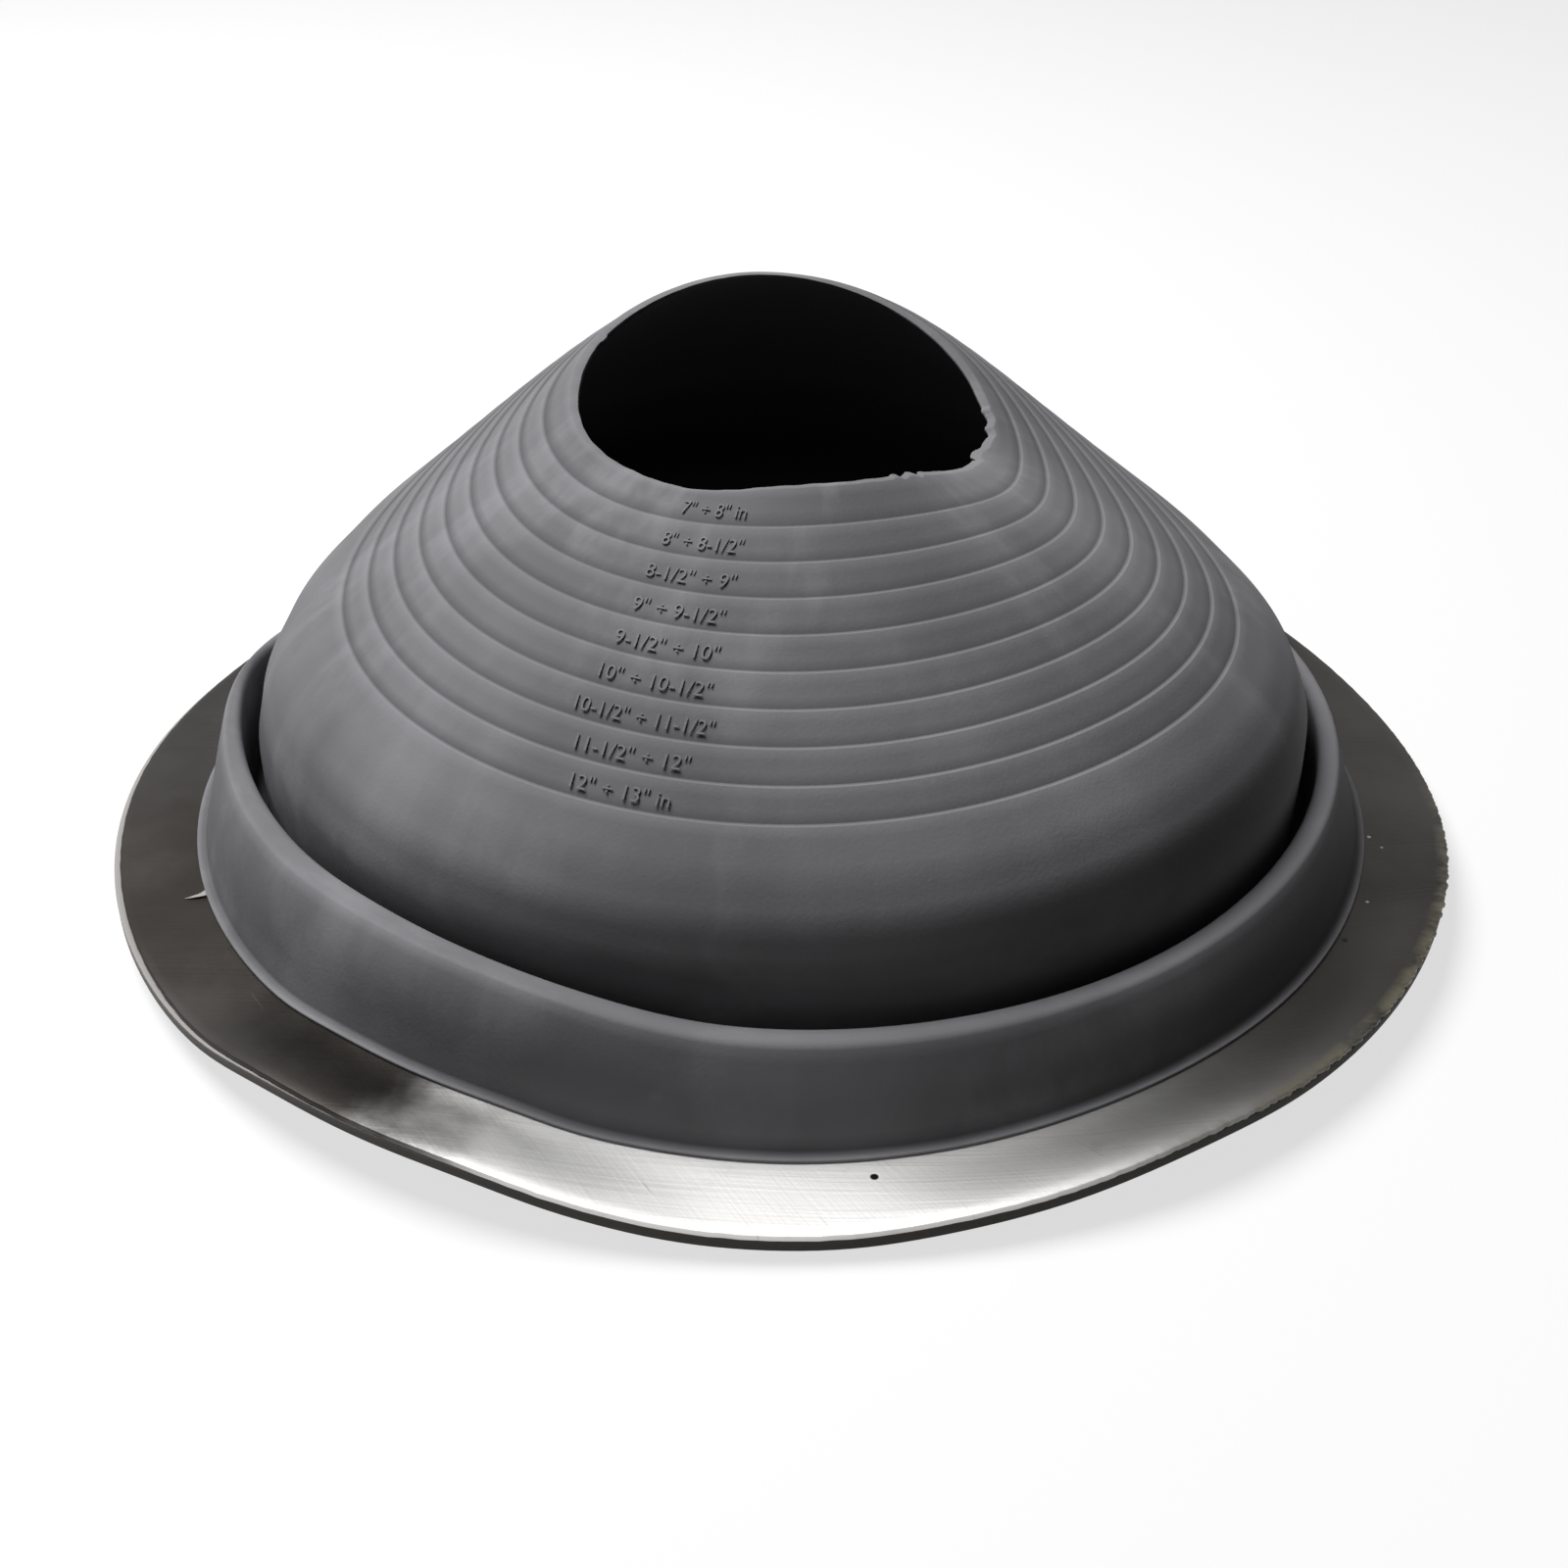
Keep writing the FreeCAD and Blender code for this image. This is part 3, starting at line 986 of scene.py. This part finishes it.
@dataclass
class RubberBoot:
    """The whole moulding with its relaxed shape, torn opening and moulded size marks."""

    sizes: BootSizes
    relaxed: Relaxed
    finish: bpy.types.Material

    def outside(self) -> list[Corner]:
        """Go up the outside of the cone, from the shoulder to the opening.

        Returns:
            The corners.
        """
        s = self.sizes
        start = s.shoulder_start
        drop = (s.body_radius - start[0]) * math.tan(s.slope)
        corners = [Corner(s.body_radius, start[1] - drop, s.shoulder_radius)]
        for step in range(s.step_count):
            radius, height = s.up_the_slope(s.smooth_band + step * s.step_pitch)
            # The step's edge is lightened as a painted highlight
            corners.append(Corner(radius, height, s.step_round, crest=1.0))
            # The step's root is darkened as painted shade
            corners.append(Corner(radius - s.step_ledge, height, s.step_root_round, crease_shade=1.0))
        low = s.top - s.opening_edge
        return corners + [
            # The land's and the opening's edges are lightened as a painted highlight
            Corner(s.land_radius, s.top, s.land_round, crest=0.9, edge=0.75),
            Corner(s.opening_radius, s.top, s.opening_round, crest=0.8, edge=1.0),
            Corner(s.opening_radius, low, s.opening_round, inside=1.0, edge=1.0),
        ]

    def inside(self) -> list[Corner]:
        """Go down the inside, under the groove and up into the collar's hollow.

        Returns:
            The corners.
        """
        s = self.sizes
        start = s.shoulder_start
        inner_start = start - s.wall * s.outward_of_slope
        inner_wall = s.body_radius - s.wall
        drop = (inner_wall - inner_start[0]) * math.tan(s.slope)
        fold = s.groove_gap / 2 + s.wall - s.arc_margin
        behind = s.body_radius + s.groove_gap + s.wall
        back, lean = self.skirt_back()
        roof = self.crest_centre()[1] - (behind + s.hollow_roof - back) / math.tan(lean)
        pad_inner = s.ring_inner_radius - s.wall
        knee = self.crest_centre()[1] - (pad_inner - back) / math.tan(lean)
        under = s.groove_floor - s.wall
        # The inner faces are darkened as painted shade
        return [
            Corner(inner_wall, inner_start[1] - drop, s.shoulder_radius - s.wall, inside=1.0),
            Corner(inner_wall, under, fold, inside=1.0),
            Corner(behind, under, fold, inside=1.0),
            Corner(behind, roof, s.roof_round, inside=1.0),
            Corner(behind + s.hollow_roof, roof, s.roof_round, inside=1.0),
            Corner(pad_inner, knee, s.knee_round, inside=1.0),
        ]

    def crest_centre(self) -> tuple[float, float]:
        """Centre of the crest's round."""
        s = self.sizes
        return s.body_radius + s.groove_gap + s.crest_width / 2, s.collar_height - s.crest_width / 2

    def skirt_back(self) -> tuple[float, float]:
        """Find the skirt, which runs from the foot to touch the crest's round.

        Returns:
            Radius of its inner face level with the crest's centre, and its lean in radians.
        """
        s = self.sizes
        centre = self.crest_centre()
        across = s.ring_inner_radius + s.foot_set - centre[0]
        down = s.ring_top + s.lip_thickness - centre[1]
        lean = math.atan2(down, across) + math.acos(s.crest_width / 2 / math.hypot(across, down))
        return centre[0] + (s.crest_width / 2 - s.wall) / math.cos(lean), lean

    def base(self) -> list[Corner]:
        """Go round the ribbed pad, its edge, the ring's seat and the foot lip.

        Returns:
            The corners.
        """
        s = self.sizes
        pad_inner = s.ring_inner_radius - s.wall
        last = s.rib_count - 1
        spacing = (s.flange_radius - pad_inner - s.rib_land) / last
        root = s.rib_root_round
        corners: list[Corner] = []
        # The ribs under the pad are partly darkened as painted shade
        for rib in range(s.rib_count):
            inner = pad_inner + rib * spacing
            outer = inner + s.rib_land
            if rib > 0:
                corners.append(Corner(inner - s.rib_flank, s.rib_height, root, inside=0.6))
            corners.append(Corner(inner, 0.0, s.rib_round, inside=0.5))
            if rib < last:
                corners.append(Corner(outer, 0.0, s.rib_round, inside=0.5))
                corners.append(Corner(outer + s.rib_flank, s.rib_height, root, inside=0.6))
        # The pad's outer edge is lightened as painted light
        corners.append(Corner(outer, 0.0, s.rib_round, painted_light=1.0))
        foot = s.ring_inner_radius + s.foot_set
        lip_top = s.ring_top + s.lip_thickness
        under_ring = s.pad_top - s.seat_clearance
        over_ring = s.ring_top + s.seat_clearance
        within_ring = s.ring_inner_radius - s.seat_clearance
        return corners + [
            Corner(s.flange_radius, under_ring, s.pad_edge_round, painted_light=1.0),
            Corner(within_ring, under_ring, s.seat_round),
            # The seat, the lip's underside and its foot are darkened as painted shade
            Corner(within_ring, over_ring, s.seat_round, crease_shade=1.0),
            Corner(foot + s.lip_reach, over_ring, s.lip_under_round, crease_shade=0.8),
            # The lip's top is lightened as a painted highlight
            Corner(foot + s.lip_reach, lip_top, s.lip_round, crest=0.6),
            Corner(foot, lip_top, s.foot_round, crease_shade=0.7),
        ]

    def collar(self) -> list[Corner]:
        """Go over the crest and down into the folding groove.

        Returns:
            The corners.
        """
        s = self.sizes
        _, lean = self.skirt_back()
        centre = self.crest_centre()
        half = s.crest_width / 2
        skirt_top = centre[0] + half / math.cos(lean) - half * math.tan(lean)
        bore = s.body_radius + s.groove_gap
        deep = s.groove_gap / 2 - s.arc_margin
        return [
            # The collar's crest is lightened as a painted highlight
            Corner(skirt_top, s.collar_height, half - s.arc_margin, crest=0.8),
            Corner(bore, s.collar_height, half - s.arc_margin, crest=0.8),
            # The groove's floor is darkened as painted shade
            Corner(bore, s.groove_floor, deep, crease_shade=1.0),
            Corner(s.body_radius, s.groove_floor, deep, crease_shade=1.0),
        ]

    def shell(self) -> bpy.types.Object:
        """Turn the section about +Z, tear the opening's edge and let the rubber settle.

        A bite takes the edge back down the slope, and a tongue stands out level.

        Returns:
            The skin, with the marks that its finish reads.
        """
        corners = self.outside() + self.inside() + self.base() + self.collar()
        grid = Turned.from_corners(corners, BOOT_DENSITY)
        marks = grid.line.marks
        torn = marks["edge"][:, None] * torn_edge(grid.angle)
        grid.radius = grid.radius + torn
        grid.height = grid.height - math.tan(self.sizes.slope) * np.clip(torn, 0.0, None)
        piece = grid.piece("rubber_boot_skin", self.relaxed)
        for name in ("crease_shade", "crest", "inside", "painted_light"):
            store(piece, name, np.repeat(marks[name], grid.angle.shape[1]))
        return piece

    def size_mark(self, band: int, mark: SizeMark) -> bpy.types.Object:
        """One raised size mark, wrapped on its band and settled with the cone.

        A letter's point (u, v, w) goes v up the slope from the band's line of marks, u / radius
        round the axis from the marks' angle, and w out of the surface.

        Args:
            band: Number of the band, counted from the lowest.
            mark: The mark on it.

        Returns:
            The mark's mesh.
        """
        s = self.sizes
        flat, faces = letters(mark.text, MARK_HEIGHT, MARK_RELIEF)
        across, up, out = flat.T
        across = across * mark.width / np.ptp(across)
        place = s.up_the_slope(s.band_middle(band) + up) + out[:, None] * s.outward_of_slope
        turn = math.radians(MARK_ANGLE) + across / place[:, 0]
        points = self.relaxed.apply(place[:, 0], turn, place[:, 1])
        piece = mesh_piece(f"size_mark_{band + 1}", points, faces, False)
        # The marks are lightened all over as a painted highlight
        store(piece, "crest", np.ones(len(points)))
        return piece

    def flash(self) -> bpy.types.Object:
        """Thin whisker of moulding flash on the foot lip, lying on the ring.

        Returns:
            The whisker.
        """
        s = self.sizes
        root = s.ring_inner_radius + s.foot_set + s.lip_reach - FLASH_ROOT
        out, across, up = np.array(FLASH_CORNERS).T
        turn = math.radians(FLASH_ANGLE) + across / root
        points = self.relaxed.apply(root + out, turn, s.ring_top + up)
        piece = mesh_piece("moulding_flash", points, np.array(FLASH_FACES), False)
        # The whisker is lightened as painted light
        store(piece, "painted_light", np.ones(len(points)))
        return piece

    def build(self) -> list[bpy.types.Object]:
        """Build the skin, the flash and the size marks.

        Returns:
            The boot's pieces, riding on the frame.
        """
        pieces = [self.shell(), self.flash()]
        pieces += [self.size_mark(band, mark) for band, mark in enumerate(SIZE_MARKS)]
        for piece in pieces:
            piece.data.materials.append(self.finish)
            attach(piece, ROOT)
            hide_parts("rubber_boot")
        return pieces


# ------------------------------------------------------------------ aluminium ring
RING_DENSITY = Density(4.0, 30.0, 1.0, 0.25, ((18.0, 96.0),))
SHEARED = Swell(56.0, 26.0, 1.0)  # where the blank was torn rather than cut
SHEAR_RIPPLE = Ripple(1.0, 211.0, 47.0, 1.3)
SHEAR_BURR = 0.6
BURR_WAVES = 503.0
BURR_PHASE = 0.4
CUT_DEPTH = 0.08
SHEAR_DEPTH = 0.28
SET_OFF = Swell(-84.0, 44.0, 2.0)  # where the ring, set off its centre, leaves the pad bare


def sheared_edge(turn: np.ndarray) -> np.ndarray:
    """Change of the ring's radius: fine ripples, rougher where it was torn, less the bare strip.

    Args:
        turn: Angles, radians.

    Returns:
        The changes in millimetres, in the shape of turn.
    """
    ripple = SHEAR_RIPPLE.at(turn) + SHEAR_BURR * np.sin(turn * BURR_WAVES + BURR_PHASE)
    depth = CUT_DEPTH + SHEAR_DEPTH * swells(turn, (SHEARED,))
    return ripple * depth - swells(turn, (SET_OFF,))


@dataclass
class AluminiumRing:
    """The soft ring on the pad, following its ripple, with a sheared outer edge."""

    sizes: BootSizes
    relaxed: Relaxed
    finish: bpy.types.Material
    hole_burr: float = 0.05
    hole_round: float = 0.1
    edge_round: float = 0.45
    edge_width: float = 6.0

    def build(self) -> list[bpy.types.Object]:
        """Build the ring.

        Returns:
            The ring, riding on the frame.
        """
        s = self.sizes
        corners = [
            Corner(s.ring_inner_radius, s.pad_top, self.hole_burr),
            Corner(s.flange_radius, s.pad_top, self.hole_round),
            Corner(s.flange_radius, s.ring_top, self.edge_round),
            Corner(s.ring_inner_radius, s.ring_top, self.hole_round),
        ]
        grid = Turned.from_corners(corners, RING_DENSITY)
        edge = smooth_step(grid.radius, s.flange_radius - self.edge_width, s.flange_radius)
        grid.radius = grid.radius + edge * sheared_edge(grid.angle)
        piece = grid.piece("aluminium_ring_sheet", self.relaxed)
        store(piece, "shear", edge**4 * swells(grid.angle, (SHEARED,)))
        piece.data.materials.append(self.finish)
        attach(piece, ROOT)
        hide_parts("aluminium_ring")
        return [piece]


# ------------------------------------------------------------------ studio
def stand(axes: tuple[np.ndarray, np.ndarray, np.ndarray], place: tuple[float, ...]) -> Matrix:
    """Matrix of a camera or a light.

    Args:
        axes: Its right, upward and backward axes.
        place: Where it stands, metres.

    Returns:
        The matrix.
    """
    frame = np.eye(4)
    frame[:3] = np.column_stack([*axes, place])
    return Matrix(frame.tolist())


class Side(Enum):
    """Where a soft light stands: place in metres, width and power in watts."""

    TOP = ((-0.66, 0.38, 1.50), 1.0, 41.0)
    LEFT = ((-1.10, -0.60, 0.80), 0.8, 1.2)


@dataclass(frozen=True)
class Studio:
    """Camera, soft lights, pale floor and white background."""

    distance: float = 560.5
    camera_height: float = 368.2
    pitch: float = 33.80
    yaw: float = 0.1235
    roll: float = 1.276
    lens: float = 44.61
    sensor: float = 36.0
    ambient: float = 0.02
    aim_height: float = 0.06
    floor_reach: float = 6000.0
    floor_height: float = -0.2
    floor_bounce: float = 0.08
    floor_seen: float = 0.9
    floor_glow: float = 0.7
    floor_rough: float = 0.9
    floor_specular: float = 0.2

    def camera(self) -> None:
        """Camera whose axes come from pitch, yaw and roll."""
        pitch, yaw, roll = (math.radians(a) for a in (self.pitch, self.yaw, self.roll))
        ahead = np.array(
            [math.sin(yaw) * math.cos(pitch), math.cos(yaw) * math.cos(pitch), -math.sin(pitch)]
        )
        right = np.array([math.cos(yaw), -math.sin(yaw), 0.0])
        up = np.cross(right, ahead)
        across = right * math.cos(roll) + up * math.sin(roll)
        above = -right * math.sin(roll) + up * math.cos(roll)
        data = bpy.data.cameras.new("studio_camera")
        data.lens = self.lens
        data.sensor_width = self.sensor
        camera = bpy.data.objects.new("studio_camera", data)
        place = (0.0, -self.distance * MM, self.camera_height * MM)
        camera.matrix_world = stand((across, above, -ahead), place)
        bpy.context.scene.collection.objects.link(camera)
        bpy.context.scene.camera = camera

    def lights(self) -> None:
        """One soft area light for each side, aimed at the boot."""
        for side in Side:
            place, width, power = side.value
            data = bpy.data.lights.new(side.name.lower() + "_light", "AREA")
            data.shape = "DISK"
            data.size = width
            data.energy = power
            light = bpy.data.objects.new(data.name, data)
            aim = np.array([0.0, 0.0, self.aim_height]) - np.array(place)
            back = -aim / np.linalg.norm(aim)
            right = np.cross([0.0, 0.0, 1.0], back)
            right /= np.linalg.norm(right)
            light.matrix_world = stand((right, np.cross(back, right), back), place)
            bpy.context.scene.collection.objects.link(light)

    def world(self) -> None:
        """Dim even light; the camera and clear or glossy rays see white."""
        world = bpy.data.worlds.new("studio_world")
        world.use_nodes = True
        tree = Tree(world.node_tree)
        camera, glossy, clear = tree.rays("Camera", "Glossy", "Transmission")
        dim = tree.node("ShaderNodeBackground", {}, {"Color": WHITE, "Strength": self.ambient})
        white = tree.node("ShaderNodeBackground", {}, {"Color": WHITE, "Strength": 1.0})
        surface = tree.mixed(camera.larger(glossy.larger(clear)), dim, white)
        tree.add("ShaderNodeOutputWorld", {}, {"Surface": surface})
        bpy.context.scene.world = world

    def floor(self) -> None:
        """Wide floor just under the ribs: pale to the camera and in reflections, darker as a
        source of bounced light, and lifted towards white while it keeps the boot's shadow."""
        square = np.array([[-1.0, -1.0, 0.0], [1.0, -1.0, 0.0], [1.0, 1.0, 0.0], [-1.0, 1.0, 0.0]])
        points = square * self.floor_reach + [0.0, 0.0, self.floor_height]
        floor = mesh_piece("studio_floor", points, np.array([[0, 1, 2, 3]]), False)
        r = Recipe("pale_floor")
        camera, glossy = r.rays("Camera", "Glossy")
        seen = camera + glossy
        matte = r.principled(
            Base_Color=r.blend(seen, grey(self.floor_bounce), grey(self.floor_seen)),
            Roughness=self.floor_rough,
            Specular_IOR_Level=self.floor_specular,
        )
        glow = r.node("ShaderNodeEmission", {}, {})
        floor.data.materials.append(r.finish_with(r.mixed(seen * self.floor_glow, matte, glow)))

    def build(self) -> None:
        """Set the whole studio."""
        bpy.context.scene.view_settings.view_transform = "Standard"
        self.camera()
        self.lights()
        self.world()
        self.floor()


def main() -> None:
    """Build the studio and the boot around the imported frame."""
    logging.basicConfig(level=logging.INFO, format="%(name)s: %(message)s")
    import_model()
    ring_low, ring_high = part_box("aluminium_ring")
    sizes = BootSizes(
        flange_radius=ring_high[0] / MM,
        pad_top=ring_low[2] / MM,
        ring_top=ring_high[2] / MM,
    )
    relaxed = Relaxed(fixed_height=sizes.shoulder_base, top_height=sizes.top)
    Studio().build()
    sub_assemblies = (
        RubberBoot(sizes, relaxed, RubberFinish().material()),
        AluminiumRing(sizes, relaxed, AluminiumFinish().material()),
    )
    for assembly in sub_assemblies:
        for piece in assembly.build():
            log.info("%s: %d faces", piece.name, len(piece.data.polygons))


if __name__ == "__main__":
    main()
